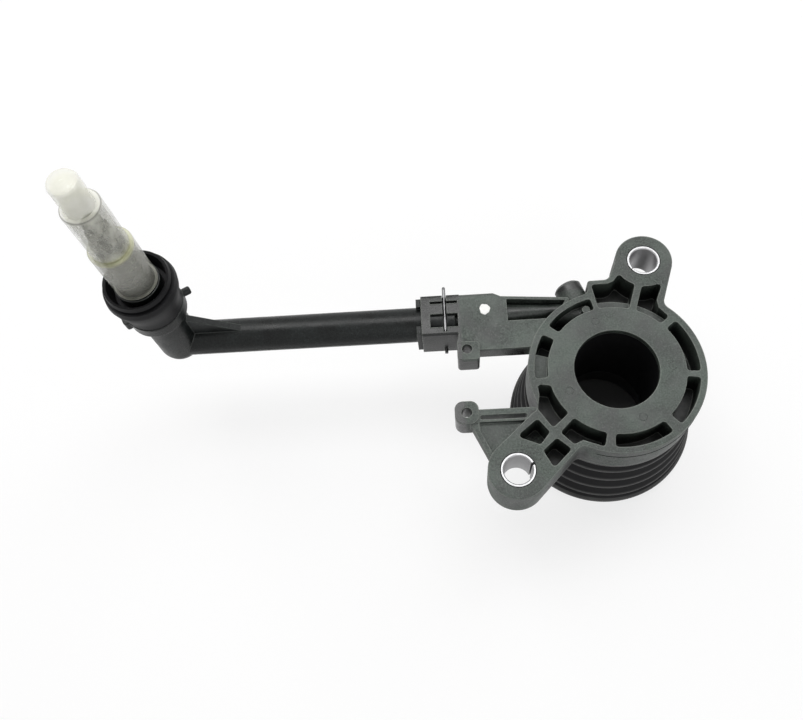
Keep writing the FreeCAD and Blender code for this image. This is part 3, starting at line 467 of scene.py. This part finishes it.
def rubber(name, colour, rough, crest=None):
    """Moulded rubber: fine grain, a bloom of pale dust, and fold crests painted a little lighter as a
    highlight.
    """
    paint = Paint(name)
    grain = paint.noise(1500, 3, 0.6)
    bloom = paint.noise(70, 4, 0.65).above(0.5, 0.5)
    tone = paint.blend(bloom * 0.4, colour, scaled(colour, 2.2))
    if crest:
        flare, start = crest
        # Painted highlight: the fold crests are made lighter in colour
        crest_highlight = (paint.radius() - paint.z * flare).above(start * MM, 0.4 * MM)
        tone = paint.blend(crest_highlight * (0.5 + bloom * 0.5), tone, RUBBER_CREST_HIGHLIGHT_TONE)
    paint.bump(grain, 0.3, 0.04 * MM)
    return paint.finish(tone, rough + grain * 0.12, Specular_IOR_Level=0.16)


def metal(name, colour, rough, centre=(0.0, 0.0), stretch=(1.0, 1.0, 12.0), tarnish=0.25):
    """Metal: fine drawn lines one way, and cloudy tarnish that dulls it."""
    paint = Paint(name)
    lines = paint.noise(900, 3, 0.6, stretch)
    cloud = paint.noise(120, 4, 0.6)
    rings = (paint.radius(centre) * 9000.0).math("SINE") * 0.5 + 0.5
    tone = paint.blend(cloud.above(0.55, 0.4) * tarnish, colour, scaled(colour, 0.55))
    paint.bump(lines * 0.7 + rings * 0.3, 0.2, 0.01 * MM)
    return paint.finish(tone, rough + lines * 0.14 + cloud * 0.08, Metallic=1.0)


def milky(name, colour):
    """See-through plastic: hazy at its tip, blotched in the middle, with flow lines, bright rims and
    painted shade at its foot.
    """
    paint = Paint(name)
    haze = paint.noise(110, 3, 0.6)
    blotch = paint.noise(190, 3, 0.6, (1.0, 1.0, 0.5)).above(0.5, 0.26)
    streak = paint.noise(260, 2, 0.5, (1.0, 1.0, 0.08))
    first, second = [height * MM for height in CAP_STEPS]
    tip = paint.z.above(second - 0.6 * MM, 1.0 * MM)
    middle = paint.z.above(first, 2 * MM) * (1.0 - tip)
    band = paint.z.near(first, 2.2 * MM)
    rim = paint.z.near(CAP_FOOT * MM, 1.0 * MM)
    outside = paint.radius(NECK).above(CAP_SHOULDER_R * MM, 0.4 * MM)
    shoulder = paint.z.near(second - 0.2 * MM, 0.7 * MM) * outside
    foot = 1.0 - paint.z.above(0.5 * (first + CAP_FOOT * MM), first - CAP_FOOT * MM)
    tone = paint.blend(haze, scaled(colour, 0.86), scaled(colour, 1.12))
    # Painted shade: the cap darkens towards its foot, where the grommet shades it
    tone = paint.blend(foot * 0.8, tone, CAP_FOOT_SHADE_TONE)
    tone = paint.blend(middle * blotch * 0.8, tone, scaled(colour, 1.35))
    tone = paint.blend(tip, tone, CAP_TIP_TONE)
    tone = paint.blend(band * 0.75, tone, CAP_BAND_TONE)
    tone = paint.blend(rim * 0.8, tone, CAP_RIM_TONE)
    tone = paint.blend(shoulder * 0.9, tone, CAP_SHOULDER_TONE)
    paint.bump(streak, 0.25, 0.08 * MM)
    halfway = paint.z.near((first + CAP_FOOT * MM) / 2, 18 * MM)
    body = 0.2 + haze * 0.16 + halfway * 0.22 + middle * (blotch * 0.24 - 0.02)
    see = body + tip * 0.08 + band * 0.2 + rim * 0.3 + shoulder * 0.4
    paint.feed(paint.shader.inputs["Alpha"], see.math("ADD", 0.0, True))
    return paint.finish(tone, 0.2 + haze * 0.12)


def plastic(name, colour, rough):
    """Plain moulded plastic with a fine grain and faint cloudiness."""
    paint = Paint(name)
    grain = paint.noise(1100, 3, 0.6)
    cloud = paint.noise(140, 3, 0.6)
    tone = paint.blend(cloud, scaled(colour, 0.85), scaled(colour, 1.1))
    paint.bump(grain, 0.25, 0.03 * MM)
    return paint.finish(tone, rough + cloud * 0.12)


# Settings


def colour_property(label, about, default):
    return bpy.props.FloatVectorProperty(name=label, description=about, default=default, size=3, min=0.0,
                                         max=1.0, subtype="COLOR")


def size_property(label, about, default):
    return bpy.props.FloatProperty(name=label, description=about, default=default, unit="LENGTH",
                                   min=0.0)


class CYL_PG_colours(bpy.types.PropertyGroup):
    housing: colour_property("Housing", "Moulded body, its flange face lit", (0.0375, 0.0475, 0.040))
    pipe: colour_property("Pipe", "Inlet pipe, elbow and connector", (0.0055, 0.0072, 0.007))
    rubber: colour_property("Rubber", "Boot, grommet and seals", (0.0045, 0.0045, 0.005))
    steel: colour_property("Steel", "Sleeves, bearing rings and clip", (0.72, 0.72, 0.73))
    cap: colour_property("Cap", "Milky transport cap", (0.62, 0.62, 0.55))
    mark: colour_property("Paint mark", "Inspection mark on the inlet arm", (0.85, 0.85, 0.83))


class CYL_PG_sizes(bpy.types.PropertyGroup):
    boot_wall: size_property("Boot wall", "Thickness of the boot's folds", 1.1 * MM)
    spring_wire: size_property("Spring wire", "Diameter of the preload spring's wire", 3.0 * MM)
    ball: size_property("Ball", "Radius of each bearing ball", 3.0 * MM)
    mark: size_property("Paint mark", "Length of the inspection mark", 5.2 * MM)
    seam: size_property("Seam", "Height of the mould seam on the pipe", 0.14 * MM)


def settings():
    return bpy.context.scene.cylinder_colours, bpy.context.scene.cylinder_sizes


# Pieces


class CYL_OT_boot(bpy.types.Operator):
    """Rubber boot: one closed profile with a rounded crest at each fold, turned round the bore"""

    bl_idname = "cylinder.boot"
    bl_label = "Dust boot"

    def execute(self, context):
        colours, sizes = settings()
        wall = sizes.boot_wall / MM
        collar_in, collar_out = BOOT_COLLAR_R
        foot_in, foot_out = BOOT_FOOT_R
        foot_edge, foot_top = [BOOT_FOOT + height for height in BOOT_FOOT_H]
        last = BOOT_TOP - BOOT_COLLAR
        collar = [(collar_in, last), (collar_in, BOOT_TOP), (collar_out, BOOT_TOP), (collar_out, last)]
        folds = []
        for height, radius in BOOT_RIDGES:
            folds.append((radius - BOOT_FOLD, (last + height) / 2))
            folds.append((radius, height + BOOT_CREST_HALF))
            folds.append((radius, height - BOOT_CREST_HALF))
            last = height
        folds.append((foot_out - BOOT_FOLD, foot_top))
        foot = [(foot_out, foot_edge), (foot_out, BOOT_FOOT), (foot_in, BOOT_FOOT), (foot_in, foot_top)]
        inside = [(radius - wall, height) for radius, height in folds[::-1]]
        profile = rounded_profile(collar + folds + foot + inside, BOOT_ROUND)
        boot = turned_piece("boot", profile, 240, "housing")
        boot.data.materials.append(rubber("boot rubber", colours.rubber, 0.5, BOOT_CREST))
        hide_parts("dust_boot")
        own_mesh(boot)
        return {"FINISHED"}


class CYL_OT_spring(bpy.types.Operator):
    """Preload spring: round wire on a helix whose end coils lie flat"""

    bl_idname = "cylinder.spring"
    bl_label = "Preload spring"

    def execute(self, context):
        _, sizes = settings()
        wire = sizes.spring_wire / MM / 2
        share = np.linspace(0, 1, 420)
        rise = np.clip((share - SPRING_FLAT) / (1 - 2 * SPRING_FLAT), 0, 1)
        turn = FULL_TURN * SPRING_TURNS * share
        low, high = SPRING_LOW + wire, SPRING_TOP - wire
        path = np.stack([SPRING_R * np.cos(turn), SPRING_R * np.sin(turn), low + (high - low) * rise],
                        axis=-1)
        spring = tube_piece("spring", path, wire, 16, "housing")
        spring.data.materials.append(metal("spring wire", (0.3, 0.3, 0.31), 0.3))
        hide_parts("preload_spring")
        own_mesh(spring)
        return {"FINISHED"}


class CYL_OT_balls(bpy.types.Operator):
    """Bearing balls: smooth globes in place of the faceted ones"""

    bl_idname = "cylinder.balls"
    bl_label = "Bearing balls"

    def execute(self, context):
        _, sizes = settings()
        turn = full_turn(BALL_COUNT)
        centres = np.stack([BALL_RING_R * np.cos(turn), BALL_RING_R * np.sin(turn), BALL_Z + 0 * turn],
                           axis=-1)
        globe = globe_points(sizes.ball / MM, *BALL_GRID)
        points = centres[:, None] + globe
        first = np.arange(BALL_COUNT)[:, None, None] * len(globe)
        faces = (capped_faces(*BALL_GRID) + first).reshape(-1, 3)
        balls = mesh_object("balls", points, faces, "ball_set")
        balls.data.materials.append(metal("ball steel", (0.8, 0.8, 0.82), 0.08, tarnish=0.05))
        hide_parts("bearing_balls")
        return {"FINISHED"}


class CYL_OT_marks(bpy.types.Operator):
    """Small marks and forms of the moulding: paint mark, seams, pin marks, painted shade at the sleeve
    joints, recess
    """

    bl_idname = "cylinder.marks"
    bl_label = "Moulding marks"

    def execute(self, context):
        colours, sizes = settings()
        self.paint_mark(colours, sizes)
        self.seams(colours, sizes)
        self.pin_marks(colours)
        self.sleeve_joint_shade()
        self.recess_rib(colours)
        self.channel_flare(colours)
        return {"FINISHED"}

    def paint_mark(self, colours, sizes):
        """Thin dab: a lens over an uneven oval, its edge wavering by a sum of sines."""
        rows, columns = 8, 72
        share = np.linspace(0.01, 1, rows)[:, None]
        turn = full_turn(columns)[None, :]
        edge = 1 + 0.05 * np.sin(3 * turn + 1) + 0.03 * np.sin(7 * turn)
        length = sizes.mark / MM / 2
        middle_x, middle_y, face_z = MARK_PLACE
        x = middle_x + length * 0.9 * share * edge * np.cos(turn)
        y = middle_y + length * share * edge * np.sin(turn)
        z = face_z + MARK_DOME * np.sqrt(np.clip(1.02 - share ** 2, 0, 1)) + 0 * turn
        top = np.stack([x, y, z], axis=-1)
        low = np.stack([x, y, np.full_like(x, face_z)], axis=-1)[::-1]
        points = np.concatenate([top, low])
        quads = ring_faces(len(points), columns)
        dab = mesh_object("inspection_mark", points, quads, "housing")
        dab.data.materials.append(plastic("mark paint", colours.mark, 0.45))

    def seams(self, colours, sizes):
        """Mould seams: thin beads half sunk in each flank of the pipe and in the flange's open side."""
        high = sizes.seam / MM
        along = np.linspace(*PIPE_SEAM_X, 90)
        for name, side in (("pipe_seam_back", 1), ("pipe_seam_front", -1)):
            path = np.stack([along, np.full_like(along, PIPE_Y + side * PIPE_R),
                             np.full_like(along, PIPE_Z)], axis=-1)
            seam = tube_piece(name, path, high, 10, "housing")
            seam.data.materials.append(nylon(name, scaled(colours.pipe, 1.2), 0.1, 0.4))
        turn = np.radians(np.linspace(*FLANGE_SEAM_ANGLES, 260))
        ring = np.stack([FLANGE_R * np.cos(turn), FLANGE_R * np.sin(turn), FLANGE_SEAM_Z + 0 * turn],
                        axis=-1)
        seam = tube_piece("flange_seam", ring, high, 10, "housing")
        seam.data.materials.append(nylon("flange seam", scaled(colours.housing, 0.25), 0.1, 0.6, 0.0, 0.1))

    def pin_marks(self, colours):
        """Ring left by each ejector pin: a low torus pressed into the face."""
        marks = flat_tori("pin_marks", PINS, PIN_R, 0.09, 0.05, 0.02, 48)
        marks.data.materials.append(nylon("pin marks", scaled(colours.housing, 0.8), 0.3, 0.5))

    def sleeve_joint_shade(self):
        """Painted shade in the joint round each pressed-in sleeve: a flat torus, low and dull."""
        joints = flat_tori("sleeve_joint_shade", LUGS, JOINT_R, 0.2, 0.04, 0.0, 96)
        # A near-black ring stands for the shadow in the chamfer round each sleeve
        joints.data.materials.append(rubber("joint painted shade", (0.002, 0.002, 0.002), 0.8))

    def recess_rib(self, colours):
        """Thin wall that closes the front of the arm's recess: a rounded oblong carried along x."""
        (front, back), (low, high) = RECESS_RIB_Y, RECESS_RIB_Z
        corners = [(front, low), (back, low), (back, high), (front, high)]
        profile = rounded_profile(corners, RECESS_RIB_ROUND)
        along = np.linspace(*RECESS_RIB_X, 14)[:, None]
        rings = np.stack([along + 0 * profile[:, 0], profile[:, 0] + 0 * along, profile[:, 1] + 0 * along],
                         axis=-1)
        rib = capped_piece("recess_rib", rings, "housing")
        rib.data.materials.append(nylon("recess rib", colours.housing, 0.5, 0.4))

    def channel_flare(self, colours):
        """Trumpet-shaped crest of the oil channel, lying in the arm's recess.

        Its rings are ellipses in y and z with flat feet. Their size falls with the square of the way
        along x, and they end in the flange ring, whose circle gives the last x of each point.
        """
        along = np.linspace(0, 1, 30)[:, None]
        turn = full_turn(56)[None, :]
        flare = (1 - along) ** 2
        half = FLARE_HALF[1] + (FLARE_HALF[0] - FLARE_HALF[1]) * flare
        crest = FLARE_CREST[1] + (FLARE_CREST[0] - FLARE_CREST[1]) * flare
        y = FLARE_Y + half * np.cos(turn)
        z = FLARE_FOOT + np.where(np.sin(turn) > 0, crest - FLARE_FOOT, FLARE_SINK) * np.sin(turn)
        end = -np.sqrt(np.maximum(FLARE_RING ** 2 - y ** 2, FLARE_LAST ** 2))
        rings = np.stack([FLARE_START + (end - FLARE_START) * along, y, z], axis=-1)
        channel = capped_piece("channel_flare", rings, "housing")
        # Painted shade: the housing's nylon at half its colour, for the channel lying down in the recess
        channel.data.materials.append(nylon("channel nylon shaded", scaled(colours.housing, 0.5), 0.3, 0.3, 0.0))


class CYL_OT_finishes(bpy.types.Operator):
    """Gives every construction piece its finish, and smooth shading over its fine facets"""

    bl_idname = "cylinder.finishes"
    bl_label = "Finishes"

    def execute(self, context):
        colours, _ = settings()
        steel = colours.steel
        black = colours.rubber
        made = {
            "housing": nylon("housing nylon", colours.housing, 0.5, 0.4, body=True),
            "pipe_adapter": nylon("pipe nylon", colours.pipe, 0.15, 0.24, 0.15, 0.22),
            "bolt_sleeve_lower": metal("lower sleeve", scaled(steel, 0.55), 0.38, LUGS[0]),
            "bolt_sleeve_upper": metal("upper sleeve", scaled(steel, 0.55), 0.38, LUGS[1]),
            "guide_sleeve": metal("guide sleeve", (0.03, 0.03, 0.032), 0.45),
            "guide_sleeve_oring": rubber("guide seal", black, 0.45),
            "piston": plastic("piston plastic", (0.62, 0.58, 0.44), 0.4),
            "piston_seal": rubber("piston seal", black, 0.4),
            "bearing_carrier": metal("pressed steel", scaled(steel, 0.7), 0.34, tarnish=0.45),
            "bearing_outer_ring": metal("outer ring", scaled(steel, 0.85), 0.24),
            "bearing_inner_ring": metal("inner ring", scaled(steel, 0.25), 0.3),
            "bearing_cage": plastic("cage plastic", (0.4, 0.28, 0.1), 0.4),
            "bearing_shield_upper": plastic("upper shield", (0.03, 0.03, 0.03), 0.4),
            "bearing_shield_lower": plastic("lower shield", (0.03, 0.03, 0.03), 0.4),
            "bearing_snap_ring": metal("snap ring", scaled(steel, 0.55), 0.3),
            "pipe_oring": rubber("pipe seal", black, 0.4),
            "connector_oring": rubber("connector seal", black, 0.4),
            "pipe_clip": metal("clip wire", scaled(steel, 0.25), 0.3, stretch=(1.0, 0.1, 1.0), tarnish=0.1),
            "grommet": rubber("grommet rubber", scaled(black, 1.3), 0.48),
            "transport_cap": milky("milky cap", colours.cap),
        }
        for name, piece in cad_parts.items():
            if name not in made:
                continue
            piece.data.materials.clear()
            piece.data.materials.append(made[name])
            piece.data.polygons.foreach_set("use_smooth", np.ones(len(piece.data.polygons), bool))
            weld = piece.modifiers.new("weld", "WELD")
            weld.merge_threshold = WELD_REACH
            split = piece.modifiers.new("crisp", "EDGE_SPLIT")
            split.split_angle = CRISP_ANGLE
        return {"FINISHED"}


# Studio


CAMERA_PLACE = (-69.86, -138.09, 341.46)
CAMERA_AZIMUTH = 0.14766
CAMERA_ELEVATION = 1.15907
CAMERA_ROLL = -0.19024
CAMERA_LENS = 38.275
FLOOR_SHADE = 24.0 * MM
FLOOR_REACH = 3.0
MIDDLE = (-0.07, 0.0, 0.0)
# Each lamp's name, place and target, size both ways in metres, power in watts, and colour
LAMPS = (
    ("key", (-0.95, 0.95, 1.25), MIDDLE, (1.1, 1.1), 8.0, (1.0, 0.99, 0.97)),
    ("back", (0.75, 1.05, 1.15), MIDDLE, (1.1, 0.9), 5.0, (1.0, 1.0, 1.0)),
    ("fill", (0.5, -1.3, 1.0), MIDDLE, (1.0, 1.0), 6.0, (0.97, 0.98, 1.0)),
    ("top", (-0.05, 0.42, 1.2), (-0.05, 0.0, 0.0), (1.2, 0.55), 10.0, (1.0, 1.0, 1.0)),
)


def camera_turn():
    """Axes from azimuth, elevation and roll: the camera looks along minus its third axis."""
    a, e, r = CAMERA_AZIMUTH, CAMERA_ELEVATION, CAMERA_ROLL
    back = Vector((math.sin(a) * math.cos(e), -math.cos(a) * math.cos(e), math.sin(e)))
    right = Vector((0, 0, 1)).cross(back).normalized()
    up = back.cross(right)
    turned_right = math.cos(r) * right + math.sin(r) * up
    turned_up = -math.sin(r) * right + math.cos(r) * up
    return Matrix((turned_right, turned_up, back)).transposed().to_4x4()


def background_rays(tree):
    """1 for rays that show the background: from the camera, off a glossy surface or through a clear one."""
    rays = tree.nodes.new("ShaderNodeLightPath")
    share = rays.outputs["Is Camera Ray"]
    for kind in ("Is Glossy Ray", "Is Transmission Ray"):
        total = tree.nodes.new("ShaderNodeMath")
        total.use_clamp = True
        tree.links.new(share, total.inputs[0])
        tree.links.new(rays.outputs[kind], total.inputs[1])
        share = total.outputs[0]
    return share


def area_light(name, place, target, size, power, colour):
    data = bpy.data.lights.new(name, "AREA")
    data.shape = "RECTANGLE"
    data.size, data.size_y = size
    data.energy = power
    data.color = colour
    light = bpy.data.objects.new(name, data)
    light.location = place
    light.rotation_euler = (Vector(target) - Vector(place)).to_track_quat("-Z", "Y").to_euler()
    bpy.context.scene.collection.objects.link(light)


class CYL_OT_stage(bpy.types.Operator):
    """White studio: floor, soft lights, white surroundings and the camera"""

    bl_idname = "cylinder.stage"
    bl_label = "Studio"

    def execute(self, context):
        scene = context.scene
        scene.view_settings.view_transform = "Standard"
        self.floor()
        self.surroundings(scene)
        for lamp in LAMPS:
            area_light(*lamp)
        data = bpy.data.cameras.new("camera")
        data.sensor_width = 36.0
        data.lens = CAMERA_LENS
        data.clip_start = 0.01
        data.clip_end = 20.0
        camera = bpy.data.objects.new("camera", data)
        scene.collection.objects.link(camera)
        turn = camera_turn()
        turn.translation = Vector(CAMERA_PLACE) * MM
        camera.matrix_world = turn
        scene.camera = camera
        return {"FINISHED"}

    def floor(self):
        """White paper under the bearing, wider than the view, painted dark as shade inside the bore's foot.
        """
        sides = ((-1, -1), (1, -1), (1, 1), (-1, 1))
        corners = [(x * FLOOR_REACH, y * FLOOR_REACH, FLOOR_Z) for x, y in sides]
        mesh = bpy.data.meshes.new("floor")
        mesh.from_pydata(corners, [], [(0, 1, 2, 3)])
        floor = bpy.data.objects.new("floor", mesh)
        bpy.context.scene.collection.objects.link(floor)
        paint = Paint("floor paper")
        # Painted shade: a dark disc on the floor under the bore, also kept out of the white glow
        floor_outside_painted_shade = paint.radius().above(FLOOR_SHADE, 4 * MM)
        tone = paint.blend(floor_outside_painted_shade, (0.2, 0.2, 0.2), (0.95, 0.95, 0.95))
        material = paint.finish(tone, 0.9, Specular_IOR_Level=0.0)
        paper = paint.node("ShaderNodeEmission", {"Color": (1.0, 1.0, 1.0), "Strength": 1.0})
        far = paint.radius().above(0.8, 0.8)
        share = floor_outside_painted_shade * (0.75 + far * 0.25) * Value(paint, background_rays(paint.tree))
        shaders = {0: share, 1: paint.shader.outputs[0], 2: paper.outputs[0]}
        mixed = paint.node("ShaderNodeMixShader", shaders)
        output = paint.tree.nodes["Material Output"]
        paint.tree.links.new(mixed.outputs[0], output.inputs["Surface"])
        mesh.materials.append(material)

    def surroundings(self, scene):
        """White to the eye and in reflections, softer as light, so that black plastic keeps its depth."""
        world = bpy.data.worlds.new("studio")
        scene.world = world
        world.use_nodes = True
        tree = world.node_tree
        light = tree.nodes["Background"]
        light.inputs["Color"].default_value = (1, 1, 1, 1)
        light.inputs["Strength"].default_value = 0.25
        seen = tree.nodes.new("ShaderNodeBackground")
        seen.inputs["Color"].default_value = (1, 1, 1, 1)
        seen.inputs["Strength"].default_value = 1.0
        mix = tree.nodes.new("ShaderNodeMixShader")
        share = background_rays(tree)
        tree.links.new(share, mix.inputs[0])
        tree.links.new(light.outputs[0], mix.inputs[1])
        tree.links.new(seen.outputs[0], mix.inputs[2])
        tree.links.new(mix.outputs[0], tree.nodes["World Output"].inputs["Surface"])


class CYL_PT_panel(bpy.types.Panel):
    bl_label = "Clutch slave cylinder"
    bl_idname = "CYL_PT_panel"
    bl_space_type = "VIEW_3D"
    bl_region_type = "UI"
    bl_category = "Cylinder"

    def draw(self, context):
        for group in settings():
            for key in group.__annotations__:
                self.layout.prop(group, key)
        for operator in OPERATORS:
            self.layout.operator(operator.bl_idname)


OPERATORS = (CYL_OT_boot, CYL_OT_spring, CYL_OT_balls, CYL_OT_marks, CYL_OT_finishes, CYL_OT_stage)
CLASSES = (CYL_PG_colours, CYL_PG_sizes) + OPERATORS + (CYL_PT_panel,)


def register():
    for cls in CLASSES:
        bpy.utils.register_class(cls)
    bpy.types.Scene.cylinder_colours = bpy.props.PointerProperty(type=CYL_PG_colours)
    bpy.types.Scene.cylinder_sizes = bpy.props.PointerProperty(type=CYL_PG_sizes)


def unregister():
    del bpy.types.Scene.cylinder_sizes
    del bpy.types.Scene.cylinder_colours
    for cls in reversed(CLASSES):
        bpy.utils.unregister_class(cls)


def main():
    register()
    for operator in OPERATORS:
        group, name = operator.bl_idname.split(".")
        getattr(getattr(bpy.ops, group), name)()


if __name__ == "__main__":
    main()
